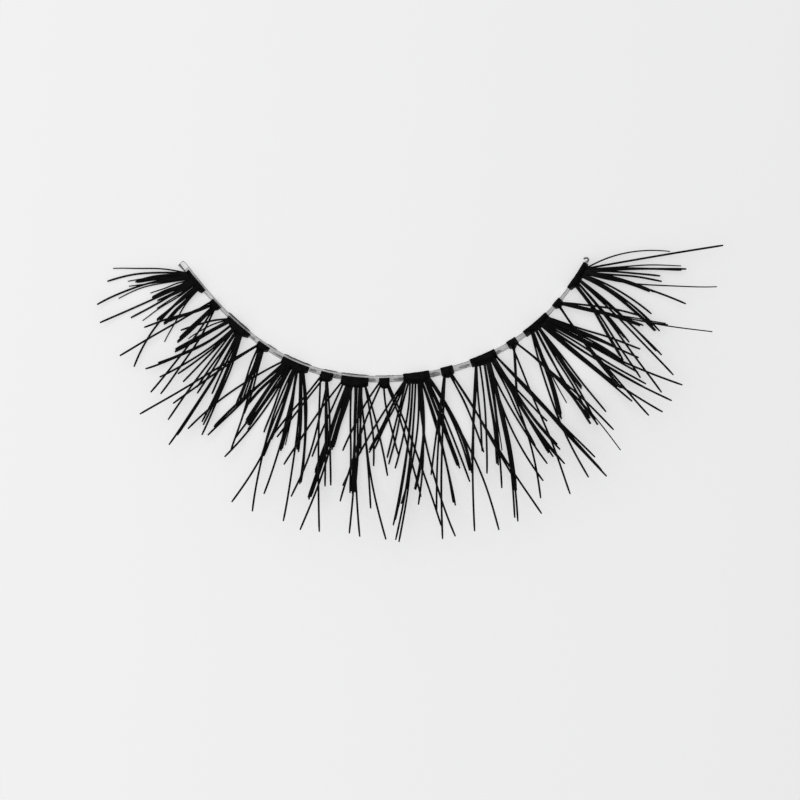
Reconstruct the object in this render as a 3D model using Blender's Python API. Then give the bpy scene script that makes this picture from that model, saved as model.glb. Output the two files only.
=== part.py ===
# False eyelash strip: a clear curved band with fifteen knotted tufts of black hair.
# Seen from above, X runs along the strip, +Y is its hollow side, +Z is up.
# The strip lies on the bellies of its hairs and their tips curl up.
# Units are metres. The origin is at the middle of the underside of the whole strip.
import math

import bpy
import bmesh
from mathutils import Matrix, Vector

# Band: a clear ribbon standing on edge, its top edge leaning to the hollow side
BAND_LENGTH = 0.033
BAND_WIDTH = 0.0006
BAND_THICKNESS = 0.00012
BAND_STEPS = 58
END_TAB_LENGTH = 0.0004
END_TAB_WIDTH_SHARE = 0.5

# Directions of the band in degrees at equal steps of its length, from left to right
HEADINGS = (-51, -46, -33.5, -14, 1.5, 14, 29.5, 47, 60.5)
# Lean of the ribbon from upright in degrees at the same steps
TILTS = (42, 20, 34, 41, 42, 40, 33, 20, 14)

# Knots: black glued clips round the lower edge of the ribbon
WIDE_KNOT_LENGTH = 0.00175
NARROW_KNOT_LENGTH = 0.00067
KNOT_BULGE = 0.00042
KNOT_WALL = 0.00011
KNOT_BACK_LIP = 0.00018
KNOT_CLEARANCE = 0.00002
KNOT_FLOOR_GAP = 0.00003
KNOT_STEP_LENGTH = 0.0003
# Fullness of a knot's bulge at its two ends
KNOT_END_SHARE = 0.5
# Outer side of a knot's section, downward: place across the ribbon as a share of its
# width, and distance off its face as a share of the bulge
KNOT_LUMP = ((0.1, 1.0), (-0.35, 1.0), (-0.68, 0.75))
COVERING_KNOT_SHOULDER = (0.42, 0.6)
# An open knot leaves the top of the ribbon bare above this share of the width
OPEN_KNOT_TOP = 0.2
OPEN_KNOT_RIM = 0.6

# Hairs: their reach, thickness and the curl that lifts their tips
LASH_REACH = 0.011
LOCK_THICKNESS = 0.00015
HAIR_SPREAD = 0.00009
TIP_WIDTH = 0.0001
ROOT_INSET = 0.00005
ROOT_HEIGHT_SHARE = 0.65
ROOT_SPAN_SHARE = 0.84
BELLY_REACH = 0.004
TIP_RISE = 0.0036
LOCK_STEP_LENGTH = 0.00172

# Neighbouring tufts lie at different heights, so that their crossing hairs keep clear
LAYER_GAP = 0.00009
LAYER_ORDER = (0, 2, 1, 3)
LAYER_RAMP = 0.0008

BAND_LIFT = KNOT_FLOOR_GAP + KNOT_WALL + KNOT_CLEARANCE
ROOT_DEPTH = 0.5 * BAND_THICKNESS + KNOT_CLEARANCE + KNOT_WALL + ROOT_INSET
ROOT_HEIGHT = BAND_LIFT + ROOT_HEIGHT_SHARE * BAND_WIDTH
LAYER_STEP = LOCK_THICKNESS + LAYER_GAP

BLACK_FIBRE = (0.012, 0.011, 0.011, 1.0)
FIBRE_ROUGHNESS = 0.45
CLEAR_BAND = (0.72, 0.72, 0.7, 1.0)
BAND_ROUGHNESS = 0.35
BAND_ALPHA = 0.7

# Tufts: share of the band length at the centre, knot kind, whether the knot covers the
# top edge of the ribbon, and the locks. A lock is (root, lean, reach, bow, hairs):
# root from -1 to 1 along the knot, lean in degrees from the outward direction to the tip,
# plus to the right end, reach as a share of LASH_REACH, bow as a share of its own length.
TUFTS = (
    (0.047, "wide", False, (
        (-0.9, -49, 0.51, -0.05, 1), (-0.8, -40, 0.54, -0.08, 1), (-0.5, -39, 0.36, 0, 3),
        (-0.3, -25, 0.62, -0.08, 1), (0, -15.5, 0.645, 0, 2), (0.1, -11, 0.46, 0, 2),
        (0.5, 4, 0.35, 0, 3), (0.6, 13, 0.335, 0, 3), (0.7, 12.5, 0.665, -0.06, 1),
        (0.8, 25, 0.44, -0.04, 1))),
    (0.110, "narrow", False, (
        (-0.6, -25.5, 0.46, 0, 1), (-0.5, -15, 0.67, 0.04, 1), (0, 0, 0.34, 0, 3),
        (0.3, 12.5, 0.68, -0.02, 1), (0.5, 17, 0.66, -0.02, 1))),
    (0.171, "wide", False, (
        (-0.9, -37, 0.34, 0, 1), (-0.6, -27.5, 0.41, 0, 3), (-0.3, -22.5, 0.615, 0.04, 1),
        (0, -14.5, 0.57, 0, 1), (0.15, 2, 0.48, 0, 1), (0.3, 8, 0.725, 0, 2),
        (0.4, 14, 0.845, 0, 1), (0.55, 15.5, 0.77, 0, 2), (0.7, 24.5, 0.65, 0, 2),
        (0.9, 26, 0.72, 0, 1))),
    (0.237, "narrow", False, (
        (-0.6, -23.5, 0.85, 0, 1), (-0.6, -19.5, 0.65, 0.02, 1), (0, 22, 0.4, 0, 4),
        (-0.1, 20.5, 0.68, 0, 1))),
    (0.312, "wide", False, (
        (-0.9, -35, 0.765, 0.02, 1), (-0.7, -29, 0.66, 0, 2), (-0.4, -15, 0.5, 0, 5),
        (-0.2, -14, 0.715, 0.06, 1), (0, -0.5, 0.93, -0.02, 1), (0.1, 9, 0.935, -0.04, 2),
        (0.25, 14.5, 0.54, 0, 3), (0.4, 19.5, 0.97, 0, 1), (0.6, 25, 0.545, 0, 2),
        (0.85, 26, 0.74, 0.04, 3))),
    (0.3775, "narrow", False, (
        (-0.6, -26, 0.48, 0, 1), (-0.6, -22.5, 0.49, 0, 1), (0, -1.5, 0.78, 0.03, 1),
        (0.2, 11.5, 0.965, -0.015, 1), (0.3, 14, 0.695, 0, 2), (0.6, 17, 0.685, 0.02, 1))),
    (0.437, "wide", False, (
        (-0.9, -34.5, 0.68, -0.02, 1), (-0.8, -24, 0.55, 0, 1), (-0.6, -15, 0.98, 0, 3),
        (-0.4, -12.5, 0.425, 0, 3), (0, 4, 0.945, -0.02, 1), (0.1, 8, 0.96, -0.03, 5),
        (0.3, 13, 0.80, -0.02, 1), (0.4, 17, 1.0, -0.035, 1), (0.9, 24.5, 0.635, 0.02, 2))),
    (0.498, "narrow", False, (
        (-0.5, -30, 0.51, -0.06, 1), (-0.4, -20.5, 0.79, -0.04, 1), (0.3, 10, 0.475, 0, 1),
        (0.5, 16.5, 0.75, 0, 1), (0.7, 20.5, 0.955, 0, 1))),
    (0.5626, "wide", False, (
        (-1, -41.5, 0.80, 0, 1), (-0.9, -38, 0.545, 0, 2), (-0.7, -26, 0.54, 0, 2),
        (-0.4, -16, 0.915, 0, 2), (-0.2, -13.5, 1.01, 0, 2), (0.2, -8, 0.74, 0.04, 2),
        (0.2, 6, 1.0, -0.03, 1), (0.6, 9, 0.82, 0, 2), (0.7, 17.5, 0.68, 0, 3),
        (0.9, 22.5, 0.68, 0.01, 3), (0.9, 20.5, 1.065, 0.04, 1))),
    (0.629, "narrow", True, (
        (-0.3, -23.5, 0.645, 0, 1), (-0.2, -19, 0.87, -0.02, 1), (-0.1, -16.5, 1.025, -0.015, 2),
        (0.3, 9, 0.55, 0, 1), (0.5, 17, 0.75, 0, 1), (0.6, 18.5, 1.04, 0, 1))),
    (0.707, "wide", True, (
        (-0.9, -30, 0.64, 0, 2), (-0.9, -26.5, 1.06, -0.02, 1), (-0.3, -22, 0.705, 0.02, 1),
        (-0.1, -15.5, 0.80, 0.01, 2), (0.1, -11.5, 0.995, 0.04, 4), (0.2, 2, 0.84, -0.06, 1),
        (0.7, -1.5, 0.92, 0.05, 1), (0.7, 7.5, 0.75, 0, 2), (0.8, 12.5, 0.8, -0.03, 2),
        (0.9, 20, 0.68, -0.03, 2), (1, 22.5, 1.035, 0, 2))),
    (0.774, "narrow", True, (
        (-0.2, -29, 0.40, 0, 2), (0, -12, 0.985, -0.02, 1), (0.5, 11, 0.685, 0.05, 2),
        (0.6, 16, 0.81, 0.05, 1), (0.6, 12, 0.925, 0.05, 1))),
    (0.8366, "wide", True, (
        (-0.8, -28, 0.60, 0.02, 4), (-0.7, -23.5, 0.985, -0.01, 1), (-0.3, -13, 0.71, 0.02, 2),
        (0, -4.5, 0.68, -0.01, 2), (0.2, 10, 0.72, 0, 2), (0.35, 12.5, 0.935, -0.02, 1),
        (0.5, 18, 0.94, -0.02, 2), (0.65, 23.5, 0.6, -0.01, 4), (0.8, 25, 0.955, -0.02, 1),
        (0.9, 31, 0.57, 0, 2), (1, 34, 0.65, -0.02, 1))),
    (0.8955, "narrow", True, (
        (-0.2, -10.5, 0.88, -0.03, 1), (-0.2, -13, 0.65, -0.03, 2), (0.3, 25, 0.54, 0.03, 2),
        (0.4, 29.5, 0.69, 0.03, 2), (0.5, 29.5, 0.955, 0.02, 1))),
    (0.962, "wide", True, (
        (-0.7, -28, 0.58, 0.02, 2), (-0.4, -20.5, 0.87, 0.01, 1), (-0.3, -12.5, 0.835, 0.02, 1),
        (-0.2, -9.5, 0.70, 0.02, 2), (0.1, -1, 0.605, 0.02, 3), (0.4, 19, 0.68, 0.01, 2),
        (0.5, 29, 0.85, -0.035, 1), (0.7, 33.5, 0.505, 0.02, 1), (0.8, 37.5, 0.67, -0.01, 2),
        (1, 45.5, 0.91, -0.015, 1), (1, 48.5, 0.59, 0.05, 1))),
)

KNOT_LENGTHS = {"wide": WIDE_KNOT_LENGTH, "narrow": NARROW_KNOT_LENGTH}
CURVE_SAMPLES = 480


def clear_scene():
    for thing in list(bpy.data.objects):
        bpy.data.objects.remove(thing)


def smooth_value(table, share):
    """Catmull-Rom value at a share of a table whose rows are equally spaced."""
    last = len(table) - 1
    row = min(max(int(share * last), 0), last - 1)
    t = share * last - row
    b = table[row]
    c = table[row + 1]
    a = table[row - 1] if row > 0 else 2 * b - c
    d = table[row + 2] if row + 2 <= last else 2 * c - b
    return 0.5 * (2 * b + (c - a) * t + (2 * a - 5 * b + 4 * c - d) * t ** 2
                  + (3 * b - a - 3 * c + d) * t ** 3)


def band_curve():
    """Plan points of the band's centre line, centred on its own middle."""
    step = BAND_LENGTH / CURVE_SAMPLES
    points = [Vector((0.0, 0.0))]
    for index in range(CURVE_SAMPLES):
        heading = math.radians(smooth_value(HEADINGS, (index + 0.5) / CURVE_SAMPLES))
        points.append(points[-1] + step * Vector((math.cos(heading), math.sin(heading))))
    middle = points[CURVE_SAMPLES // 2].copy()
    return [point - middle for point in points]


def band_point(curve, share):
    """A point of the centre line, also a little beyond its ends."""
    place = share * CURVE_SAMPLES
    row = min(max(int(place), 0), CURVE_SAMPLES - 1)
    return curve[row].lerp(curve[row + 1], place - row)


def directions(share):
    """Unit vectors along the band and outward, away from its hollow side."""
    heading = math.radians(smooth_value(HEADINGS, share))
    along = Vector((math.cos(heading), math.sin(heading)))
    return along, Vector((along.y, -along.x))


def distance_to_band(curve, point):
    return min((point - sample).length for sample in curve)


def ribbon_place(curve, share, across, off):
    """Point at a place across the ribbon's width and off its face, plus being outward."""
    tilt = math.radians(smooth_value(TILTS, share))
    centre = band_point(curve, share)
    outward = directions(share)[1]
    middle_height = BAND_LIFT + 0.5 * BAND_WIDTH * math.cos(tilt)
    plan = centre + outward * (off * math.cos(tilt) - across * math.sin(tilt))
    return Vector((plan.x, plan.y, middle_height + across * math.cos(tilt) + off * math.sin(tilt)))


def sweep(rings):
    """Closed solid through rings of equally many points, with flat ends."""
    mesh = bmesh.new()
    loops = [[mesh.verts.new(point) for point in ring] for ring in rings]
    count = len(rings[0])
    for first, second in zip(loops, loops[1:]):
        for index in range(count):
            following = (index + 1) % count
            mesh.faces.new((first[index], first[following], second[following], second[index]))
    mesh.faces.new(loops[0])
    mesh.faces.new(loops[-1])
    bmesh.ops.recalc_face_normals(mesh, faces=mesh.faces)
    if mesh.calc_volume(signed=True) < 0:
        bmesh.ops.reverse_faces(mesh, faces=mesh.faces)
    return mesh


def add_object(name, mesh, material=None):
    data = bpy.data.meshes.new(name)
    mesh.to_mesh(data)
    mesh.free()
    thing = bpy.data.objects.new(name, data)
    bpy.context.scene.collection.objects.link(thing)
    if material:
        data.materials.append(material)
    return thing


def make_material(name, colour, roughness, alpha=1.0):
    material = bpy.data.materials.new(name)
    material.use_nodes = True
    shader = material.node_tree.nodes["Principled BSDF"]
    shader.inputs["Base Color"].default_value = colour
    shader.inputs["Roughness"].default_value = roughness
    shader.inputs["Metallic"].default_value = 0.0
    shader.inputs["Alpha"].default_value = alpha
    return material


def band_rings(curve):
    """Sections of the ribbon, narrowed to a round tab at each end."""
    tab = END_TAB_LENGTH / BAND_LENGTH
    tab_shares = [0.0, 0.15 * tab, 0.5 * tab]
    shares = [tab + (1 - 2 * tab) * step / BAND_STEPS for step in range(BAND_STEPS + 1)]
    shares = tab_shares + shares + [1 - share for share in reversed(tab_shares)]
    rings = []
    for share in shares:
        rise = min(min(share, 1 - share) / tab, 1.0)
        rounding = math.sqrt(1 - (1 - rise) ** 2)
        width = BAND_WIDTH * (END_TAB_WIDTH_SHARE + (1 - END_TAB_WIDTH_SHARE) * rounding)
        rings.append([ribbon_place(curve, share, across * width, off * BAND_THICKNESS)
                      for across, off in ((-0.5, -0.5), (0.5, -0.5), (0.5, 0.5), (-0.5, 0.5))])
    return rings


def knot_profile(covers_top, fullness):
    """Clip section as (across the ribbon, off its face), open to the hollow side."""
    inner_edge = 0.5 * BAND_WIDTH + KNOT_CLEARANCE
    inner_face = 0.5 * BAND_THICKNESS + KNOT_CLEARANCE
    wall = KNOT_WALL
    bulge = inner_face + wall + KNOT_BULGE * fullness
    lip = 0.5 * BAND_WIDTH - KNOT_BACK_LIP
    back = [(-lip, -inner_face), (-inner_edge, -inner_face), (-inner_edge, inner_face)]
    lump = [(across * BAND_WIDTH, off * bulge) for across, off in KNOT_LUMP]
    bottom = [(-inner_edge - wall, inner_face), (-inner_edge - wall, -inner_face),
              (-inner_edge, -inner_face - wall), (-lip, -inner_face - wall)]
    if covers_top:
        top = [(inner_edge, inner_face), (inner_edge, -inner_face), (lip, -inner_face),
               (lip, -inner_face - wall), (inner_edge, -inner_face - wall),
               (inner_edge + wall, -inner_face), (inner_edge + wall, inner_face),
               (COVERING_KNOT_SHOULDER[0] * BAND_WIDTH, COVERING_KNOT_SHOULDER[1] * bulge)]
    else:
        top = [(OPEN_KNOT_TOP * BAND_WIDTH, inner_face),
               (OPEN_KNOT_TOP * BAND_WIDTH, inner_face + OPEN_KNOT_RIM * wall)]
    return back + top + lump + bottom


def knot_rings(curve, centre, length, covers_top):
    steps = max(math.ceil(length / KNOT_STEP_LENGTH), 3)
    rings = []
    for step in range(steps + 1):
        place = 2 * step / steps - 1
        fullness = KNOT_END_SHARE + (1 - KNOT_END_SHARE) * math.sqrt(1 - place ** 2)
        share = centre + 0.5 * place * length / BAND_LENGTH
        rings.append([ribbon_place(curve, share, across, off)
                      for across, off in knot_profile(covers_top, fullness)])
    return rings


def lash_height(distance, layer):
    """Height of a hair's underside at a plan distance from the band."""
    if distance < BELLY_REACH:
        height = ROOT_HEIGHT * (1 - distance / BELLY_REACH) ** 2
    else:
        height = TIP_RISE * ((distance - BELLY_REACH) / (LASH_REACH - BELLY_REACH)) ** 2
    ramp = min(max((distance - ROOT_DEPTH) / LAYER_RAMP, 0), 1)
    return height + layer * LAYER_STEP * ramp * ramp * (3 - 2 * ramp)


def lock_rings(curve, centre, knot_length, layer, lock):
    """Sections of one lock: it is wide where its hairs leave the knot, narrow at the tip."""
    root, lean, reach, bow, hairs = lock
    along, outward = directions(centre)
    root_share = centre + 0.5 * root * ROOT_SPAN_SHARE * knot_length / BAND_LENGTH
    start = band_point(curve, root_share) + directions(root_share)[1] * ROOT_DEPTH
    angle = math.radians(lean)
    tip = (band_point(curve, centre)
           + reach * LASH_REACH * (outward * math.cos(angle) + along * math.sin(angle)))
    chord = tip - start
    side = Vector((-chord.y, chord.x))
    control = (start + tip) / 2 + 2 * bow * side
    steps = max(round(chord.length / LOCK_STEP_LENGTH), 2)
    near = LAYER_RAMP / chord.length
    shares = [0] + [near + (1 - near) * step / steps for step in range(steps + 1)]
    root_width = LOCK_THICKNESS + HAIR_SPREAD * (hairs - 1)
    rings = []
    for t in shares:
        plan = (1 - t) ** 2 * start + 2 * t * (1 - t) * control + t ** 2 * tip
        forward = ((1 - t) * (control - start) + t * (tip - control)).normalized()
        across = Vector((-forward.y, forward.x)) * 0.5 * (root_width + (TIP_WIDTH - root_width) * t)
        low = lash_height(distance_to_band(curve, plan), layer)
        height = low + 0.5 * LOCK_THICKNESS
        high = low + LOCK_THICKNESS
        left = plan + across
        right = plan - across
        rings.append([(left.x, left.y, height), (plan.x, plan.y, high),
                      (right.x, right.y, height), (plan.x, plan.y, low)])
    return rings


def make_tuft(number, curve, row, material):
    """A knot with its locks, united into one solid."""
    centre, kind, covers_top, locks = row
    knot_length = KNOT_LENGTHS[kind]
    layer = LAYER_ORDER[(number - 1) % len(LAYER_ORDER)]
    tuft = add_object("tuft_%02d" % number,
                      sweep(knot_rings(curve, centre, knot_length, covers_top)), material)
    for lock in locks:
        strand = add_object("lock", sweep(lock_rings(curve, centre, knot_length, layer, lock)))
        unite(tuft, strand)
    clear_crumbs(tuft)
    return tuft


def unite(thing, other):
    """Adds another solid to this one and removes the other object."""
    union = thing.modifiers.new("union", "BOOLEAN")
    union.operation = "UNION"
    union.solver = "MANIFOLD"
    union.object = other
    evaluated = thing.evaluated_get(bpy.context.evaluated_depsgraph_get())
    joined = bpy.data.meshes.new_from_object(evaluated)
    thing.modifiers.clear()
    thing.data = joined
    bpy.data.objects.remove(other)


def clear_crumbs(thing):
    """Deletes the loose slivers, far smaller than a lock, that rounding leaves in a union."""
    mesh = bmesh.new()
    mesh.from_mesh(thing.data)
    unseen = set(mesh.verts)
    while unseen:
        shell = set()
        front = [unseen.pop()]
        while front:
            vertex = front.pop()
            shell.add(vertex)
            beside = {edge.other_vert(vertex) for edge in vertex.link_edges} & unseen
            unseen -= beside
            front.extend(beside)
        spans = [max(vertex.co[axis] for vertex in shell) - min(vertex.co[axis] for vertex in shell)
                 for axis in range(3)]
        if max(spans) < LOCK_THICKNESS:
            bmesh.ops.delete(mesh, geom=list(shell), context="VERTS")
    mesh.to_mesh(thing.data)
    mesh.free()


def stand_on_origin(things):
    """Moves the meshes so that the origin is at the middle of the whole underside."""
    corners = [vertex.co for thing in things for vertex in thing.data.vertices]
    low = Vector([min(corner[axis] for corner in corners) for axis in range(3)])
    high = Vector([max(corner[axis] for corner in corners) for axis in range(3)])
    shift = Matrix.Translation((-(low.x + high.x) / 2, -(low.y + high.y) / 2, -low.z))
    for thing in things:
        thing.data.transform(shift)


def main():
    clear_scene()
    curve = band_curve()
    band_material = make_material("clear_band", CLEAR_BAND, BAND_ROUGHNESS, BAND_ALPHA)
    band = add_object("band", sweep(band_rings(curve)), band_material)
    tuft_material = make_material("black_fibre", BLACK_FIBRE, FIBRE_ROUGHNESS)
    tufts = [make_tuft(number, curve, row, tuft_material)
             for number, row in enumerate(TUFTS, start=1)]
    stand_on_origin([band] + tufts)


main()
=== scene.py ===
# Dresses the false eyelash strip: fine hairs, glued knots, clear band, floor, lights and camera.
# Everything is in metres, in the frame of the CAD model: +X along the strip, +Y to the
# hollow side of the band, +Z up. The strip lies on the floor at z = 0.
import math
import random

import bmesh
import bpy
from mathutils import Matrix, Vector, noise


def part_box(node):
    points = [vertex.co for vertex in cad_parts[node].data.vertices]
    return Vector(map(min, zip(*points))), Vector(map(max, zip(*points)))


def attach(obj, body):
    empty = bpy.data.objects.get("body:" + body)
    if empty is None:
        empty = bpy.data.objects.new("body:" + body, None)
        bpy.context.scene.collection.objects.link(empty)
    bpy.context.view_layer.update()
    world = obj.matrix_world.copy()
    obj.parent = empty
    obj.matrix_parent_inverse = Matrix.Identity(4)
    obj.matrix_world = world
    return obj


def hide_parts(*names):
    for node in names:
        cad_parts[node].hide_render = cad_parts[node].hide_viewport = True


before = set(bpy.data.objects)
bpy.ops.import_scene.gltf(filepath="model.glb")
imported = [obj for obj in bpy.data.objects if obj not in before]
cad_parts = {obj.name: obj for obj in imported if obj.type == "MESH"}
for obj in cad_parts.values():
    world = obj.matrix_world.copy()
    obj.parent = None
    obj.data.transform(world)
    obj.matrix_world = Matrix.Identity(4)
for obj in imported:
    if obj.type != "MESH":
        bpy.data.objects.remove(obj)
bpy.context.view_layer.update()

# Band, as in the CAD model
BAND_LENGTH = 0.033
BAND_WIDTH = 0.0006
BAND_THICKNESS = 0.00012
END_TAB_LENGTH = 0.0004
END_TAB_WIDTH_SHARE = 0.5
# Directions of the band in degrees at equal steps of its length, from left to right
HEADINGS = (-51, -46, -33.5, -14, 1.5, 14, 29.5, 47, 60.5)
# Lean of the ribbon from upright in degrees at the same steps
TILTS = (42, 20, 34, 41, 42, 40, 33, 20, 14)
# Section of the ribbon, as shares of its width and thickness, with rounded long edges, and
# the steps along it, finer than in the CAD model
BAND_SECTION = ((-0.5, -0.25), (-0.44, -0.5), (0.44, -0.5), (0.5, -0.25),
                (0.5, 0.25), (0.44, 0.5), (-0.44, 0.5), (-0.5, 0.25))
BAND_STEPS = 200
TAB_SHARE = END_TAB_LENGTH / BAND_LENGTH
# Rings of an end tab, as parts of its length
TAB_PARTS = (0, 0.05, 0.15, 0.3, 0.5, 0.75)

# Knots, with the lengths, wall and clearances of the CAD model and a rounder section
WIDE_KNOT_LENGTH = 0.00175
NARROW_KNOT_LENGTH = 0.00067
KNOT_WALL = 0.00011
KNOT_BACK_LIP = 0.00018
KNOT_CLEARANCE = 0.00002
KNOT_FLOOR_GAP = 0.00003
# An open knot leaves the ribbon's top edge bare: where it ends across the ribbon, as a share
# of its width, and its rim there in walls
OPEN_KNOT_TOP = 0.36
OPEN_KNOT_RIM = 0.6
# Shoulder of a covering knot: across the ribbon, and off its face as a share of the depth
COVERING_KNOT_SHOULDER = (0.42, 0.6)
# Rounded corners of a covering knot's top: past the ribbon's edge and off its face, as shares
# of the wall there
COVERING_KNOT_BACK_CORNER = (0.7, 0.5)
COVERING_KNOT_FRONT_CORNER = (0.5, 0.6)
# Section of a knot's lump: across the ribbon as a share of its width, and off its face as a
# share of the lump's own depth
KNOT_LUMP = ((0.25, 0.8), (0.0, 0.96), (-0.15, 1.0), (-0.32, 0.97), (-0.5, 0.86), (-0.64, 0.6))
# Place across the ribbon where a lump reaches farthest as seen from above
KNOT_LUMP_MIDDLE = -0.2
KNOT_STEPS = 30
# Winding of the thread under the glue: length of a turn, and height of its ridges
KNOT_TURN_LENGTH = 0.00013
KNOT_TURN_HEIGHT = 0.000007
# Bumps of the glue, and how far apart the noise of two knots lies
KNOT_BUMP_SIZE = 0.00016
KNOT_BUMP_HEIGHT = 0.00003
KNOT_NOISE_STEP = 7.3

# A row is a knot (from, to, covers, depths): its ends along the band from the tuft's centre,
# whether it wraps over the ribbon's top edge, and how far it stands out from the band's centre
# line, seen from above, at equal steps of its length
KNOTS = (
    (-0.00083, 0.00096, False, (0.00018, 0.00034, 0.00042, 0.00040, 0.00026)),
    (-0.00038, 0.00044, False, (0.00030, 0.00050, 0.00056, 0.00050, 0.00028)),
    (-0.00082, 0.00113, False, (0.00020, 0.00046, 0.00056, 0.00050, 0.00018)),
    (-0.00036, 0.00054, False, (0.00026, 0.00050, 0.00050, 0.00034, 0.00012)),
    (-0.00089, 0.00103, False, (0.00030, 0.00052, 0.00046, 0.00050, 0.00024)),
    (-0.00030, 0.00055, False, (0.00036, 0.00052, 0.00052, 0.00048, 0.00027)),
    (-0.00087, 0.00097, False, (0.00044, 0.00058, 0.00058, 0.00056, 0.00044)),
    (-0.00035, 0.00036, False, (0.00030, 0.00056, 0.00059, 0.00056, 0.00030)),
    (-0.00085, 0.00094, True, (0.00024, 0.00036, 0.00044, 0.00042, 0.00034)),
    (-0.00048, 0.00038, True, (0.00008, 0.00036, 0.00044, 0.00028, 0.00008)),
    (-0.00097, 0.00087, True, (0.00014, 0.00030, 0.00038, 0.00040, 0.00030)),
    (-0.00043, 0.00030, True, (0.00008, 0.00034, 0.00038, 0.00022, 0.00008)),
    (-0.00112, 0.00090, True, (0.00010, 0.00024, 0.00034, 0.00026, 0.00014)),
    (-0.00040, 0.00032, True, (0.00010, 0.00030, 0.00036, 0.00028, 0.00010)),
    (-0.00099, 0.00109, True, (0.00012, 0.00036, 0.00032, 0.00028, 0.00018)),
)
# Walls of a knot round the ribbon, as shares of KNOT_WALL: over the top edge, and elsewhere
# where the knot stands out least. Then how uneven they are, and the most that a wall may be.
KNOT_TOP_SHARE = 0.22
KNOT_LEAST_SHARE = 0.35
KNOT_TOP_UNEVENNESS = 0.6
KNOT_WALL_UNEVENNESS = 0.4
KNOT_WALL_MOST = 1.04
# Least depth of a lump, in walls
KNOT_LEAST_DEPTH = 0.8
# Rounded ends of a knot: their length, and what is left of its walls and depth at the very end
KNOT_END_ROUNDING = 0.00013
KNOT_END_WALL = 0.3
KNOT_END_DEPTH = 0.55

# Rims of the ribbon, which start a little inside its ends, and the ones across its ends. Their grey
# is painted shade of the clear film's edges.
RIM_RADIUS = 0.000022
RIM_SIDES = 6
RIM_STEPS = 220
RIM_INSET_SHARE = 0.0008
END_RIM_STEPS = 10
END_RIM_INSET_SHARE = 0.001
# Part of the band, from its left end, that is bare of glue
BARE_END_SHARE = 0.018

# Binding thread. A row is (from, to, radius, off) of a stretch of it: shares of the band, and
# how far off the ribbon's middle it lies, minus being on the hollow side
THREAD_STRETCHES = (
    (0.142, 0.2, 0.000068, -0.00007),
    (0.245, 0.268, 0.00004, -0.00006),
    (0.285, 0.347, 0.00007, -0.00006),
    (0.372, 0.402, 0.00005, -0.00006),
    (0.408, 0.467, 0.00006, -0.00006),
    (0.478, 0.52, 0.000034, -0.00005),
)
THREAD_SEED = 7
THREAD_SIDES = 7
THREAD_STEP = 0.00012
THREAD_LEAST_STEPS = 6
THREAD_BELOW_EDGE = 0.00003
THREAD_WANDER_ACROSS = 0.000012
THREAD_WANDER_OFF = 0.000008
# A stretch thins out over this share of it, to this share of its radius
THREAD_TAPER = 0.12
THREAD_END_SHARE = 0.35

# Drops of glue on the outer face: share of the band, length, height, thickness
GLUE_DROPS = (
    (0.212, 0.0005, 0.0003, 0.00004),
    (0.278, 0.0011, 0.00016, 0.00004),
    (0.352, 0.0005, 0.0003, 0.00003),
    (0.4, 0.0008, 0.0004, 0.00006),
    (0.472, 0.0006, 0.00036, 0.00006),
    (0.53, 0.0009, 0.0003, 0.00006),
    (0.598, 0.0009, 0.0005, 0.00006),
    (0.664, 0.0008, 0.0003, 0.00003),
    (0.737, 0.0006, 0.0003, 0.00003),
)
GLUE_SEED = 11
GLUE_STEPS = 12
GLUE_SIDES = 14
# Inset of a drop's first and last rings in steps, and the least of its rounding there
GLUE_END_INSET = 0.2
GLUE_END_ROUNDING = 0.004
# Middle of a drop across the ribbon, as a share of its width, from and to
GLUE_SHIFT = (-0.06, 0.02)
# Uneven outline of a drop: its size, its lobes round a ring and its twist along the drop
GLUE_UNEVENNESS = 0.12
GLUE_LOBES = 3
GLUE_TWIST = 5

# Curled edge of the left end: shares of the band where it starts and how long it is, its place
# on the ribbon's section, and its radius, from thickest to how much that thins out
CURL_SIDES = 8
CURL_STEPS = 14
CURL_START = 0.001
CURL_LENGTH = 0.019
CURL_PLACE = (-0.42, 0.4)
CURL_RADIUS = 0.00007
CURL_THICKEST = 1.25
CURL_THINNING = 0.7
# Clear hook at the right end, (along, outward) from the band's end
HOOK_PATH = ((-0.00002, -0.00025), (0.00008, -0.00021), (0.00014, -0.00013), (0.00015, -0.00003),
             (0.00009, 0.00004), (-0.00002, 0.00005), (-0.00009, 0.00002))
HOOK_RADIUS = 0.000065
HOOK_RISE = 0.0001
HOOK_STEPS = 12

# Hairs, as in the CAD model
LASH_REACH = 0.011
LOCK_THICKNESS = 0.00015
ROOT_INSET = 0.00005
ROOT_HEIGHT_SHARE = 0.65
ROOT_SPAN_SHARE = 0.84
BELLY_REACH = 0.004
TIP_RISE = 0.0036
LAYER_GAP = 0.00009
LAYER_ORDER = (0, 2, 1, 3)
LAYER_RAMP = 0.0008

BAND_LIFT = KNOT_FLOOR_GAP + KNOT_WALL + KNOT_CLEARANCE
ROOT_DEPTH = 0.5 * BAND_THICKNESS + KNOT_CLEARANCE + KNOT_WALL + ROOT_INSET
ROOT_HEIGHT = BAND_LIFT + ROOT_HEIGHT_SHARE * BAND_WIDTH
LAYER_STEP = LOCK_THICKNESS + LAYER_GAP

# Thickness of a full hair and of a thin one
FULL = 0.000146
THIN = 0.000112
HAIR_SIDES = 7
HAIR_STEPS = 26
# How far further into the knot a hair starts than a lock of the CAD model does, and how much
# and how far along glue thickens it there
ROOT_BACK = 0.00008
ROOT_GLUE_SHARE = 0.06
ROOT_GLUE_LENGTH = 0.0003
# A full hair's tip is cut blunt, and a thin hair tapers by this share
BLUNT_TIP_LENGTH = 0.0004
BLUNT_TIP_SHARE = 0.75
THIN_TAPER = 0.3
# Most that a hair waves to a side, and that its tip is lifted, at random
HAIR_WAVE = 0.00006
HAIR_LIFT = 0.00008

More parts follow.
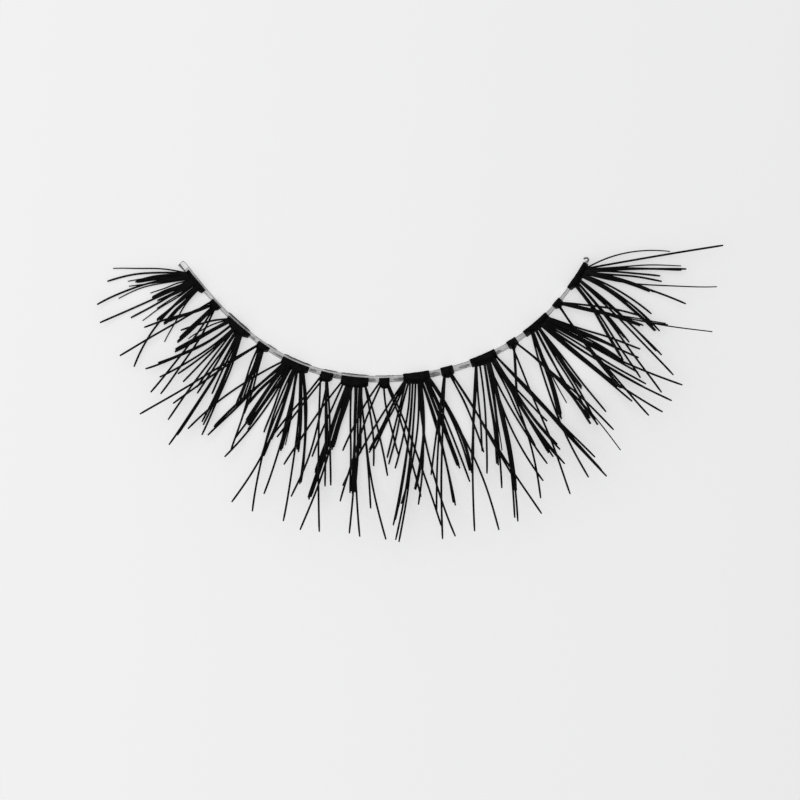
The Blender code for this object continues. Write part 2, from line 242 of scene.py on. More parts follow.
# Photograph: its width in pixels, the strip's scale and the pixel of the band's middle
PHOTO_SIZE = 800
PIXEL = 0.0000671
BAND_MIDDLE_PIXEL = (385.2, 379.1)
CAMERA_DISTANCE = 1.6
CAMERA_CLIP = (0.01, 10)
SENSOR_WIDTH = 36.0

# Table top: half its side, how far it lies under the strip, how far from the middle its colour
# changes, and its colours at the left and the right, darker to the right as painted shade
FLOOR_HALF_SIDE = 0.6
FLOOR_GAP = 0.00001
FLOOR_SHADE_REACH = 0.027
FLOOR_LEFT_LIT = (0.755, 0.755, 0.755, 1)
FLOOR_RIGHT_SHADED = (0.715, 0.715, 0.72, 1)
# Glow of the table top: painted fill light that lightens the shadows under the hairs
FLOOR_PAINTED_FILL_GLOW = 0.62
FLOOR_ROUGHNESS = 0.9
FLOOR_SPECULAR = 0.1

# A row is a square light: name, place, side, power
LIGHTS = (
    ("softbox_top", (-0.08, 0.1, 0.5), 0.5, 0.7),
    ("softbox_left", (-0.45, -0.15, 0.3), 0.35, 0.18),
)
WORLD_STRENGTH = 0.32

# Height of the fine bumps that the materials show
FINE_BUMP_HEIGHT = 0.00002

# A tuft has its centre as a share of the band, its kind of knot and its hairs. A row is a
# hair (root, lean, reach, bow, thickness): root from -1 to 1 along the knot, lean in degrees
# from the outward direction to the tip, plus to the right end, reach as a share of LASH_REACH,
# and bow as a share of the hair's own length.
TUFTS = (
    {"centre": 0.047, "knot": "wide", "rows": (
        (-1, -48.3, 0.51, -0.03, THIN), (-0.9, -39.5, 0.54, -0.055, FULL),
        (-0.8, -39.2, 0.415, -0.02, THIN), (-0.85, -40, 0.35, -0.04, FULL),
        (-0.75, -39, 0.365, -0.035, FULL), (-0.65, -38.4, 0.37, -0.025, FULL),
        (-0.55, -38, 0.36, -0.01, FULL), (-0.4, -35, 0.41, 0, THIN),
        (-0.3, -26.4, 0.62, -0.07, FULL),
        (-0.2, -26.9, 0.485, -0.06, THIN), (-0.1, -24, 0.29, -0.03, THIN),
        (-0.25, -19, 0.285, 0, FULL),
        (-0.15, -18, 0.29, 0, FULL), (-0.05, -17, 0.28, 0, FULL), (0, -16.4, 0.64, 0, FULL),
        (0.05, -12.5, 0.265, 0, THIN), (0.1, -11.5, 0.27, 0, THIN), (0.15, -10.2, 0.46, 0, FULL),
        (0.2, -8.8, 0.28, 0, FULL), (0.3, -4.2, 0.295, 0, THIN), (0.3, -3, 0.41, 0, THIN),
        (0.45, 5, 0.34, 0, FULL), (0.5, 6, 0.345, 0, FULL), (0.55, 7, 0.33, 0, FULL),
        (0.6, 13, 0.33, 0, FULL), (0.65, 14.2, 0.335, 0, FULL), (0.7, 15.2, 0.325, 0, FULL),
        (0.7, 14.1, 0.65, -0.085, FULL), (0.8, 22.7, 0.425, -0.04, THIN))},
    {"centre": 0.110, "knot": "narrow", "rows": (
        (-0.2, -24.3, 0.465, 0, FULL), (-0.1, -22.8, 0.335, 0, FULL), (0, -21.8, 0.33, 0, FULL),
        (-1, -14.3, 0.67, 0, FULL), (0, 0.3, 0.31, 0, FULL), (0.2, 1.6, 0.335, 0.01, FULL),
        (0.35, 2.6, 0.34, 0.02, FULL), (0.3, 10.7, 0.675, 0.02, FULL),
        (0.5, 15.5, 0.65, 0.03, FULL))},
    {"centre": 0.171, "knot": "wide", "rows": (
        (-0.9, -41.3, 0.35, -0.04, FULL), (-0.8, -31, 0.315, -0.06, THIN),
        (-0.8, -25.8, 0.41, 0, FULL),
        (-0.7, -24.7, 0.415, 0, FULL), (-0.6, -23.7, 0.42, 0, FULL),
        (-0.3, -21.8, 0.625, 0.05, FULL),
        (-0.35, -21.8, 0.54, 0.05, FULL), (0, -13.5, 0.575, 0.04, FULL),
        (0.05, -8, 0.475, 0.03, FULL),
        (0.1, -1.1, 0.485, 0, FULL), (0.1, 6.3, 0.72, -0.01, FULL), (0.25, 9.5, 0.46, 0, FULL),
        (0.35, 12, 0.49, 0, FULL), (0.45, 12.7, 0.845, 0.02, FULL), (0.5, 13.8, 0.77, 0.02, FULL),
        (0.6, 22, 0.455, 0, FULL), (0.65, 22.2, 0.635, 0.02, FULL), (0.7, 23.4, 0.65, 0.02, FULL),
        (0.8, 24.4, 0.71, 0.02, FULL))},
    {"centre": 0.237, "knot": "narrow", "rows": (
        (-0.8, -25.3, 0.86, 0, FULL), (-0.7, -21.5, 0.655, -0.01, FULL), (-0.7, 11, 0.4, 0, FULL),
        (-0.4, 12.8, 0.38, 0.01, FULL), (-0.1, 15, 0.37, 0.012, FULL),
        (0.4, 17.3, 0.34, 0.012, FULL),
        (0.2, 18.3, 0.67, 0.01, FULL), (0.65, 20, 0.44, 0.016, FULL))},
    {"centre": 0.312, "knot": "wide", "rows": (
        (-0.9, -34.3, 0.765, -0.045, FULL), (-0.8, -28, 0.62, -0.01, FULL),
        (-0.75, -27.6, 0.63, -0.01, FULL), (-0.6, -26.2, 0.69, -0.015, FULL),
        (-0.6, -25.3, 0.38, -0.01, FULL), (-0.5, -24.3, 0.385, -0.01, FULL),
        (-0.7, -16.3, 0.46, -0.01, FULL), (-0.6, -15.4, 0.475, -0.01, FULL),
        (-0.5, -14.3, 0.59, -0.005, FULL), (-0.35, -13.4, 0.475, 0, FULL),
        (-0.2, -12.5, 0.475, 0, FULL),
        (-0.2, -11.3, 0.5, 0, THIN), (-0.3, -12.7, 0.715, 0.045, FULL),
        (-0.1, 0, 0.465, -0.02, FULL),
        (0.2, -0.3, 0.93, 0.05, FULL), (0.1, 4.2, 0.6, 0, FULL), (0.15, 7, 0.49, 0.02, FULL),
        (0.2, 5.6, 0.6, 0.01, FULL), (0.1, 8.1, 0.94, -0.045, FULL), (0.3, 10.8, 0.82, 0.03, FULL),
        (0.3, 14.2, 0.535, 0.01, FULL), (0.35, 14.9, 0.545, 0.015, FULL),
        (0.4, 15.6, 0.53, 0.015, FULL),
        (0.3, 17.4, 0.505, 0.02, THIN), (0.6, 25.4, 0.53, 0.02, FULL),
        (0.7, 26.3, 0.545, 0.02, FULL),
        (0.6, 19.9, 0.965, 0.025, FULL), (0.8, 26.3, 0.74, 0.035, FULL),
        (0.9, 27, 0.73, 0.035, FULL),
        (0.85, 27.8, 0.69, 0.035, FULL))},
    {"centre": 0.3775, "knot": "narrow", "rows": (
        (-0.6, -26.7, 0.49, 0, FULL), (0.2, -23.4, 0.49, 0, FULL), (0.8, -1.8, 0.78, 0.04, FULL),
        (-1, 11.5, 0.965, -0.01, FULL), (0.3, 13.5, 0.69, 0, FULL), (0.4, 15.2, 0.5, 0, FULL),
        (0.5, 16.4, 0.685, 0.01, FULL))},
    {"centre": 0.437, "knot": "wide", "rows": (
        (-0.9, -33.2, 0.68, -0.015, FULL), (-0.8, -22.3, 0.545, -0.01, FULL),
        (-0.5, -15.2, 0.78, 0, FULL),
        (-0.45, -14.6, 0.79, 0, FULL), (-0.4, -14.1, 0.77, 0, FULL),
        (-0.4, -13.7, 0.98, 0.02, FULL),
        (-0.5, -17, 0.61, 0, FULL), (-0.5, -16.6, 0.625, 0, FULL), (-0.3, -13.2, 0.43, 0, FULL),
        (-0.2, -12.4, 0.45, 0, FULL), (-0.1, -11.4, 0.46, 0, FULL), (0, -10.6, 0.44, 0, FULL),
        (0.15, 4.1, 0.945, 0.014, FULL), (0.2, 7.9, 0.965, -0.02, FULL), (-0.25, 3.8, 0.7, 0, FULL),
        (0.1, 4.5, 0.69, 0.012, FULL), (0.3, 5, 0.705, 0, FULL), (0.5, 5.6, 0.69, 0.01, FULL),
        (0.7, 6.2, 0.695, 0.012, FULL), (0.5, 10.9, 0.46, 0, FULL), (0.45, 13.1, 0.8, 0.01, FULL),
        (0.6, 17, 1, -0.03, FULL), (0.9, 18.3, 0.55, 0.035, FULL), (0.9, 24.7, 0.63, 0.02, FULL))},
    {"centre": 0.498, "knot": "narrow", "rows": (
        (-0.9, -31.3, 0.505, -0.03, FULL), (-0.5, -21.1, 0.79, -0.02, FULL),
        (-0.2, 9.5, 0.475, -0.03, FULL), (0.3, 16.1, 0.75, 0.02, FULL),
        (0.7, 20, 0.955, 0.015, FULL))},
    {"centre": 0.5626, "knot": "wide", "rows": (
        (-1, -41.6, 0.8, -0.02, FULL), (-0.95, -40.2, 0.53, 0, FULL), (-0.9, -39.3, 0.545, 0, FULL),
        (-0.85, -37.4, 0.51, 0, FULL), (-0.9, -27.2, 0.525, 0, FULL), (-0.65, -24.9, 0.56, 0, FULL),
        (-0.55, -20.5, 0.575, 0.035, FULL), (-0.3, -16.4, 0.915, 0.024, FULL),
        (-0.3, -15.9, 0.88, 0.022, FULL), (-0.3, -15.3, 0.8, 0.018, FULL),
        (0.17, -14.3, 0.78, 0.05, FULL),
        (-0.05, -14.8, 1, 0.026, FULL), (-0.05, -13.6, 1.01, 0.022, FULL),
        (0.33, -8.4, 0.685, 0.055, FULL),
        (0.38, -7.9, 0.69, 0.055, FULL), (0.3, -6.6, 0.78, 0.035, FULL),
        (0.2, 6.1, 1, -0.046, FULL),
        (0.4, 8.8, 0.8, 0.025, FULL), (0.45, 9.3, 0.82, 0.025, FULL), (0.68, 17.2, 0.6, 0, FULL),
        (0.78, 17.8, 0.62, 0.005, FULL), (0.85, 18.3, 0.6, 0.012, FULL),
        (0.95, 19.4, 0.72, 0.014, FULL),
        (1, 22, 0.66, 0.05, FULL), (1.1, 22.4, 0.68, 0.055, FULL), (1.15, 23, 0.67, 0.06, FULL),
        (1.1, 20.7, 1.06, 0.045, FULL))},
    {"centre": 0.629, "knot": "narrow", "rows": (
        (-1, -23.6, 0.645, 0, FULL), (-1, -19, 0.87, -0.015, FULL), (-1, -16.3, 1.025, -0.01, FULL),
        (-0.8, -16.6, 0.97, -0.01, FULL), (0, 9.2, 0.545, 0.03, FULL), (0.3, 12.5, 0.28, 0, FULL),
        (0.5, 17, 0.75, 0.01, FULL), (0.5, 18.7, 1.04, -0.005, FULL))},
    {"centre": 0.707, "knot": "wide", "rows": (
        (-0.9, -30.8, 0.63, 0, FULL), (-0.9, -30, 0.62, 0, FULL),
        (-0.9, -27.1, 1.055, -0.015, FULL),
        (-0.85, -25.1, 0.57, 0, FULL), (-0.55, -22.5, 0.705, 0.022, FULL),
        (-0.15, -17.1, 0.65, 0.016, FULL),
        (-0.1, -16.4, 0.66, 0.016, FULL), (0.1, -16.2, 0.8, 0.022, FULL),
        (0.15, -13, 0.575, 0.015, THIN),
        (0.25, -10.9, 0.83, 0.018, FULL), (0.3, -10.6, 0.81, 0.018, FULL),
        (0.35, -10.2, 0.83, 0.018, FULL),
        (0.38, -9.8, 0.8, 0.02, FULL), (0.25, -13.1, 0.99, 0.028, FULL),
        (0.3, -12.3, 1.015, 0.032, FULL),
        (0.35, 1.7, 0.83, -0.058, FULL), (0.8, -2, 0.92, 0.055, FULL),
        (0.1, 6.9, 0.75, -0.028, FULL),
        (0.5, 6.3, 0.62, 0, FULL), (0.75, 10.2, 0.7, 0, FULL), (0.82, 11, 0.735, -0.01, FULL),
        (0.8, 13.3, 0.81, -0.035, FULL), (0.7, 12.6, 0.76, -0.03, FULL),
        (0.75, 15.7, 0.725, -0.03, FULL),
        (0.85, 16.3, 0.69, -0.03, FULL), (0.85, 21, 0.545, -0.04, FULL), (1, 24.2, 0.905, 0, FULL),
        (1, 22, 1.035, 0, FULL), (1, 22.4, 0.985, 0, FULL))},
    {"centre": 0.774, "knot": "narrow", "rows": (
        (-0.2, -29.2, 0.39, 0, FULL), (-0.1, -28.4, 0.4, 0, FULL), (-0.7, -12.3, 0.985, 0.01, FULL),
        (0.5, 10.8, 0.685, 0.05, FULL), (0.5, 12.3, 0.655, 0.04, FULL), (0.5, 13, 0.72, 0.04, FULL),
        (0.5, 16.1, 0.81, 0.02, FULL), (0.6, 12, 0.925, 0.035, THIN))},
    {"centre": 0.8366, "knot": "wide", "rows": (
        (-0.9, -29, 0.57, 0.02, FULL), (-0.85, -28.3, 0.59, 0.02, FULL),
        (-0.8, -27.8, 0.6, 0.02, FULL),
        (-0.75, -27.2, 0.57, 0.02, FULL), (-0.9, -23.6, 0.985, -0.04, FULL),
        (-0.8, -21.7, 0.515, -0.02, THIN), (-0.5, -14.2, 0.69, -0.01, FULL),
        (-0.4, -14.6, 0.62, -0.02, FULL), (-0.2, -12.9, 0.66, 0.01, FULL),
        (-0.2, -11.3, 0.715, 0.02, FULL), (-0.15, -4.1, 0.68, 0, FULL), (-0.2, -7.8, 0.48, 0, FULL),
        (-0.1, -6.8, 0.47, 0, FULL), (0.1, 8.7, 0.745, 0, FULL), (0.15, 9.8, 0.62, 0, FULL),
        (0.3, 10.3, 0.64, 0, FULL), (0.2, 12.8, 0.93, -0.028, FULL),
        (0.3, 17.3, 0.775, -0.015, FULL),
        (0.35, 18.2, 0.94, -0.025, FULL), (0.42, 19, 0.755, -0.005, FULL),
        (0.5, 22.2, 0.68, 0.01, FULL),
        (0.52, 24.2, 0.56, 0.012, FULL), (0.58, 24.7, 0.57, 0.015, FULL),
        (0.75, 25.1, 0.55, 0.03, FULL),
        (0.8, 25.6, 0.5, 0.03, FULL), (0.6, 25.1, 0.955, -0.024, FULL), (0.9, 29.5, 0.65, 0, FULL),
        (0.95, 30.8, 0.5, 0.01, FULL), (1, 31.5, 0.5, 0.012, FULL),
        (1.05, 34.2, 0.645, 0.006, FULL))},
    {"centre": 0.8955, "knot": "narrow", "rows": (
        (-0.4, -10.6, 0.88, -0.015, FULL), (-0.3, -13.2, 0.62, -0.02, FULL),
        (-0.2, -12.6, 0.65, -0.02, FULL), (0.3, 24.9, 0.52, 0.03, FULL),
        (0.4, 25.7, 0.54, 0.03, FULL),
        (0.1, 29.3, 0.685, -0.015, THIN), (0.2, 29.8, 0.67, -0.01, THIN),
        (0.3, 29.9, 0.955, -0.015, THIN),
        (0.5, 31.7, 0.505, 0.03, FULL))},
    {"centre": 0.962, "knot": "wide", "rows": (
        (-0.75, -28.4, 0.55, 0.02, FULL), (-0.7, -27.8, 0.58, 0.02, FULL),
        (-0.6, -24.6, 0.725, 0.01, FULL), (-0.4, -20.6, 0.87, 0.01, FULL),
        (-0.45, -18.9, 0.47, 0.01, FULL), (-0.4, -18.2, 0.51, 0.01, FULL),
        (-0.2, -12.3, 0.835, 0.012, FULL), (-0.15, -9.9, 0.66, 0.02, FULL),
        (-0.1, -9.5, 0.7, 0.02, FULL),
        (0.2, -1.6, 0.575, 0.05, FULL), (0.3, -1, 0.58, 0.05, FULL), (0.4, 0, 0.6, 0.05, FULL),
        (0.45, 0.8, 0.55, 0.05, FULL), (0.4, 6.8, 0.505, 0.05, FULL),
        (0.5, 19.4, 0.68, 0.035, FULL),
        (0.5, 21.8, 0.45, 0.04, FULL), (0.6, 22.2, 0.48, 0.04, FULL), (0.7, 22.9, 0.46, 0.04, FULL),
        (0.5, 29.3, 0.85, -0.035, THIN), (0.6, 30.3, 0.515, 0.02, FULL),
        (0.7, 34, 0.505, 0.02, FULL),
        (0.75, 37.1, 0.635, 0.015, FULL), (0.8, 37.5, 0.665, 0.015, FULL),
        (0.9, 39.4, 0.635, 0.02, THIN),
        (1, 45.6, 0.905, 0.004, FULL), (1, 48.7, 0.585, 0.085, THIN))},
)

KNOT_LENGTHS = {"wide": WIDE_KNOT_LENGTH, "narrow": NARROW_KNOT_LENGTH}
CURVE_SAMPLES = 480


def smooth_value(table, share):
    """Catmull-Rom value at a share of a table whose rows are equally spaced."""
    last = len(table) - 1
    row = min(max(int(share * last), 0), last - 1)
    t = share * last - row
    b = table[row]
    c = table[row + 1]
    a = table[row - 1] if row > 0 else 2 * b - c
    d = table[row + 2] if row + 2 <= last else 2 * c - b
    return 0.5 * (2 * b + (c - a) * t + (2 * a - 5 * b + 4 * c - d) * t ** 2
                  + (3 * b - a - 3 * c + d) * t ** 3)


def band_curve():
    """Plan points of the band's centre line, centred on its own middle."""
    step = BAND_LENGTH / CURVE_SAMPLES
    points = [Vector((0.0, 0.0))]
    for index in range(CURVE_SAMPLES):
        heading = math.radians(smooth_value(HEADINGS, (index + 0.5) / CURVE_SAMPLES))
        points.append(points[-1] + step * Vector((math.cos(heading), math.sin(heading))))
    middle = points[CURVE_SAMPLES // 2].copy()
    return [point - middle for point in points]


CURVE = band_curve()


def band_point(share):
    """A point of the centre line, also a little beyond its ends."""
    place = share * CURVE_SAMPLES
    row = min(max(int(place), 0), CURVE_SAMPLES - 1)
    return CURVE[row].lerp(CURVE[row + 1], place - row)


def directions(share):
    """Unit vectors along the band and outward, away from its hollow side."""
    heading = math.radians(smooth_value(HEADINGS, share))
    along = Vector((math.cos(heading), math.sin(heading)))
    return along, Vector((along.y, -along.x))


def distance_to_band(point):
    return min((point - sample).length for sample in CURVE)


def ribbon_place(share, across, off):
    """Point at a place across the ribbon's width and off its face, plus being outward."""
    tilt = math.radians(smooth_value(TILTS, share))
    centre = band_point(share)
    outward = directions(share)[1]
    middle_height = BAND_LIFT + 0.5 * BAND_WIDTH * math.cos(tilt)
    plan = centre + outward * (off * math.cos(tilt) - across * math.sin(tilt))
    return Vector((plan.x, plan.y, middle_height + across * math.cos(tilt) + off * math.sin(tilt)))


def lash_height(distance, layer):
    """Height of a hair's underside at a plan distance from the band."""
    if distance < BELLY_REACH:
        height = ROOT_HEIGHT * (1 - distance / BELLY_REACH) ** 2
    else:
        height = TIP_RISE * ((distance - BELLY_REACH) / (LASH_REACH - BELLY_REACH)) ** 2
    ramp = min(max((distance - ROOT_DEPTH) / LAYER_RAMP, 0), 1)
    return height + layer * LAYER_STEP * ramp * ramp * (3 - 2 * ramp)


def frame_shift():
    """From the band's own middle to the CAD frame, taken from the CAD band's box."""
    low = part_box("band")[0]
    corners = [ribbon_place(share / CURVE_SAMPLES, across * BAND_WIDTH, off * BAND_THICKNESS)
               for share in range(CURVE_SAMPLES + 1)
               for across in (-0.5, 0.5) for off in (-0.5, 0.5)]
    lowest_y = min(corner.y for corner in corners)
    lowest_z = min(corner.z for corner in corners)
    # The middle stretch of the band is lowest in y, and its left end is the least x
    left = min(corner.x for corner in corners[:8])
    return Vector((low[0] - left, low[1] - lowest_y, low[2] - lowest_z))


SHIFT = frame_shift()


def ribbon_width(share):
    """Width of the ribbon, which its round tabs narrow towards both ends."""
    rise = min(min(share, 1 - share) / TAB_SHARE, 1.0)
    rounding = math.sqrt(1 - (1 - rise) ** 2)
    return BAND_WIDTH * (END_TAB_WIDTH_SHARE + (1 - END_TAB_WIDTH_SHARE) * rounding)


def add_rings(mesh, rings):
    """Adds a closed tube through rings of equally many points to a bmesh."""
    loops = [[mesh.verts.new(Vector(point) + SHIFT) for point in ring] for ring in rings]
    count = len(rings[0])
    for first, second in zip(loops, loops[1:]):
        for index in range(count):
            following = (index + 1) % count
            mesh.faces.new((first[index], first[following], second[following], second[index]))
    mesh.faces.new(list(reversed(loops[0])))
    mesh.faces.new(loops[-1])
    return loops


def add_tube(mesh, points, radii, sides):
    """Adds a round tube along 3-D points with a radius for each."""
    rings = []
    for index, point in enumerate(points):
        ahead = points[min(index + 1, len(points) - 1)]
        behind = points[max(index - 1, 0)]
        forward = (ahead - behind).normalized()
        side = forward.cross(Vector((0, 0, 1))).normalized()
        up = side.cross(forward)
        rings.append([point + radii[index] * (side * math.cos(turn) + up * math.sin(turn))
                      for turn in (2 * math.pi * k / sides for k in range(sides))])
    add_rings(mesh, rings)


def add_piece(name, mesh, material):
    """Makes a bmesh into a smooth piece that rides with the strip."""
    bmesh.ops.recalc_face_normals(mesh, faces=mesh.faces)
    data = bpy.data.meshes.new(name)
    mesh.to_mesh(data)
    mesh.free()
    data.shade_smooth()
    data.materials.append(material)
    piece = bpy.data.objects.new(name, data)
    bpy.context.scene.collection.objects.link(piece)
    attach(piece, "root")
    return piece


def new_material(name):
    material = bpy.data.materials.new(name)
    material.use_nodes = True
    nodes = material.node_tree.nodes
    return material, nodes, material.node_tree.links, nodes["Principled BSDF"]


def ramp_node(nodes, links, source, low, high, start=0.35, end=0.65):
    ramp = nodes.new("ShaderNodeValToRGB")
    ramp.color_ramp.elements[0].position = start
    ramp.color_ramp.elements[0].color = low
    ramp.color_ramp.elements[1].position = end
    ramp.color_ramp.elements[1].color = high
    links.new(source, ramp.inputs["Fac"])
    return ramp


def grey(value):
    return (value, value, value, 1.0)


def mottled_material(name, scale, detail, low, high, shine=0.5, alpha=1.0, bump=0.0, specular=0.5):
    """A material mottled by noise between two colours; shine is its roughness or two of them."""
    material, nodes, links, shader = new_material(name)
    place = nodes.new("ShaderNodeTexCoord")
    spots = nodes.new("ShaderNodeTexNoise")
    spots.inputs["Scale"].default_value = scale
    spots.inputs["Detail"].default_value = detail
    links.new(place.outputs["Object"], spots.inputs["Vector"])
    tint = ramp_node(nodes, links, spots.outputs["Fac"], low, high)
    links.new(tint.outputs["Color"], shader.inputs["Base Color"])
    if isinstance(shine, tuple):
        roughness = ramp_node(nodes, links, spots.outputs["Fac"], grey(shine[0]), grey(shine[1]))
        links.new(roughness.outputs["Color"], shader.inputs["Roughness"])
    else:
        shader.inputs["Roughness"].default_value = shine
    if bump:
        relief = nodes.new("ShaderNodeBump")
        relief.inputs["Strength"].default_value = bump
        relief.inputs["Distance"].default_value = FINE_BUMP_HEIGHT
        links.new(spots.outputs["Fac"], relief.inputs["Height"])
        links.new(relief.outputs["Normal"], shader.inputs["Normal"])
    shader.inputs["Alpha"].default_value = alpha
    shader.inputs["Specular IOR Level"].default_value = specular
    return material


def hair_material():
    """Satin black fibre."""
    return mottled_material("black_hair", 900, 3, (0.0008, 0.0007, 0.0007, 1),
                            (0.0025, 0.0023, 0.0023, 1), shine=(0.3, 0.5), specular=0.12)


def knot_material():
    """Black thread soaked in dried black glue."""
    return mottled_material("glued_knot", 4200, 4, (0.002, 0.002, 0.002, 1),
                            (0.008, 0.0075, 0.0075, 1), shine=(0.42, 0.62), bump=0.6,
                            specular=0.05)


def band_material():
    """Milky clear nylon with a glue haze."""
    return mottled_material("clear_band", 1500, 4, grey(0.66), grey(0.95), shine=0.35,
                            alpha=0.5, bump=0.35)


def tab_material():
    """Bare clear nylon of the left end, without glue haze."""
    return mottled_material("clear_tab", 1800, 3, grey(0.8), grey(1.0), shine=0.2, alpha=0.12)


def rim_edge_shade_material():
    """The ribbon's thicker rims, grey as painted shade that clear nylon shows at its edges."""
    return mottled_material("band_rim_painted_edge_shade", 2600, 3, grey(0.2), grey(0.6), shine=0.3, alpha=0.8)


def curl_edge_shade_material():
    """Thick clear edge, dark grey as painted shade that clear nylon shows seen edge-on."""
    return mottled_material("band_curl_painted_edge_shade", 2200, 3, grey(0.04), grey(0.22), shine=0.35, alpha=0.7)


def thread_material():
    """Thin black binding thread, dulled by clear glue."""
    return mottled_material("binding_thread", 3000, 3, grey(0.006), grey(0.07))


def glue_material():
    """Dried glue, smoky from the black thread."""
    return mottled_material("dried_glue", 3500, 3, grey(0.07), grey(0.45), shine=0.25,
                            alpha=0.5, bump=0.5)


def make_band(material, bare_material):
    """The clear ribbon with rounded long edges and a round tab at each end."""
    tab_shares = [TAB_SHARE * part for part in TAB_PARTS]
    shares = [TAB_SHARE + (1 - 2 * TAB_SHARE) * step / BAND_STEPS for step in range(BAND_STEPS + 1)]
    shares = tab_shares + shares + [1 - share for share in reversed(tab_shares)]
    rings = []
    for share in shares:
        width = ribbon_width(share)
        rings.append([ribbon_place(share, across * width, off * BAND_THICKNESS)
                      for across, off in BAND_SECTION])
    mesh = bmesh.new()
    loops = add_rings(mesh, rings)
    bare = {vertex for share, loop in zip(shares, loops) if share < BARE_END_SHARE
            for vertex in loop}
    for face in mesh.faces:
        if all(vertex in bare for vertex in face.verts):
            face.material_index = 1
    piece = add_piece("band_ribbon", mesh, material)
    piece.data.materials.append(bare_material)
    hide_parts("band")
    return piece


def make_rims(material):
    """Thin rounded rims along both long edges of the ribbon and across its two ends, in grey that
    paints the edge shade of the clear film.
    """
    mesh = bmesh.new()
    for edge in (-0.5, 0.5):
        points = []
        for step in range(RIM_STEPS + 1):
            share = RIM_INSET_SHARE + (1 - 2 * RIM_INSET_SHARE) * step / RIM_STEPS
            points.append(ribbon_place(share, edge * ribbon_width(share), 0))
        add_tube(mesh, points, [RIM_RADIUS] * len(points), RIM_SIDES)
    for share in (END_RIM_INSET_SHARE, 1 - END_RIM_INSET_SHARE):
        across = 0.5 * BAND_WIDTH * END_TAB_WIDTH_SHARE
        points = [ribbon_place(share, across * math.cos(math.pi * step / END_RIM_STEPS), 0)
                  for step in range(END_RIM_STEPS + 1)]
        add_tube(mesh, points, [RIM_RADIUS] * len(points), RIM_SIDES)
    return add_piece("band_rims", mesh, material)


def make_end_curls(material):
    """Curled edge of the left end, and the small hook at the right end, both dark with painted edge
    shade.
    """
    mesh = bmesh.new()
    edge = []
    radii = []
    for step in range(CURL_STEPS + 1):
        place = step / CURL_STEPS
        edge.append(ribbon_place(CURL_START + CURL_LENGTH * place,
                                 CURL_PLACE[0] * BAND_WIDTH, CURL_PLACE[1] * BAND_THICKNESS))
        radii.append(CURL_RADIUS * (CURL_THICKEST - CURL_THINNING * place))
    add_tube(mesh, edge, radii, CURL_SIDES)
    hook = []
    along, outward = directions(1.0)
    end = ribbon_place(1.0, 0, 0)
    for step in range(HOOK_STEPS + 1):
        place = step / HOOK_STEPS
        forward = smooth_value([row[0] for row in HOOK_PATH], place)
        out = smooth_value([row[1] for row in HOOK_PATH], place)
        hook.append(end + Vector((*(along * forward + outward * out), HOOK_RISE * place)))
    add_tube(mesh, hook, [HOOK_RADIUS] * len(hook), CURL_SIDES)
    return add_piece("band_curls", mesh, material)


def make_thread(material):
    """Black binding thread along the ribbon's upper edge, between the left knots."""
    mesh = bmesh.new()
    chance = random.Random(THREAD_SEED)
    for start, end, radius, off in THREAD_STRETCHES:
        steps = max(int((end - start) * BAND_LENGTH / THREAD_STEP), THREAD_LEAST_STEPS)
        points = []
        radii = []
        for step in range(steps + 1):
            place = step / steps
            share = start + (end - start) * place
            across = (0.5 * BAND_WIDTH - THREAD_BELOW_EDGE
                      + chance.uniform(-1, 1) * THREAD_WANDER_ACROSS)
            points.append(ribbon_place(share, across,
                                       off + chance.uniform(-1, 1) * THREAD_WANDER_OFF))
            from_end = min(place, 1 - place, THREAD_TAPER) / THREAD_TAPER
            radii.append(radius * (THREAD_END_SHARE + (1 - THREAD_END_SHARE) * from_end))
        add_tube(mesh, points, radii, THREAD_SIDES)
    return add_piece("band_thread", mesh, material)


def make_glue(material):
    """Flat drops of dried glue on the ribbon's outer face."""
    mesh = bmesh.new()
    chance = random.Random(GLUE_SEED)
    for share, length, height, thickness in GLUE_DROPS:
        rings = []
        across_middle = chance.uniform(*GLUE_SHIFT) * BAND_WIDTH
        for step in range(GLUE_STEPS + 1):
            turned = (step + GLUE_END_INSET) / (GLUE_STEPS + 2 * GLUE_END_INSET)
            place = -math.cos(math.pi * turned)
            size = math.sqrt(max(1 - place * place, GLUE_END_ROUNDING))
            ring = []
            for k in range(GLUE_SIDES):
                turn = 2 * math.pi * k / GLUE_SIDES
                uneven = 1 + GLUE_UNEVENNESS * math.sin(GLUE_LOBES * turn + GLUE_TWIST * place)
                across = across_middle + 0.5 * height * size * uneven * math.cos(turn)
                off = 0.5 * BAND_THICKNESS + thickness * size * math.sin(turn)
                ring.append(ribbon_place(share + 0.5 * length * place / BAND_LENGTH, across, off))
            rings.append(ring)
        add_rings(mesh, rings)
    return add_piece("glue_drops", mesh, material)


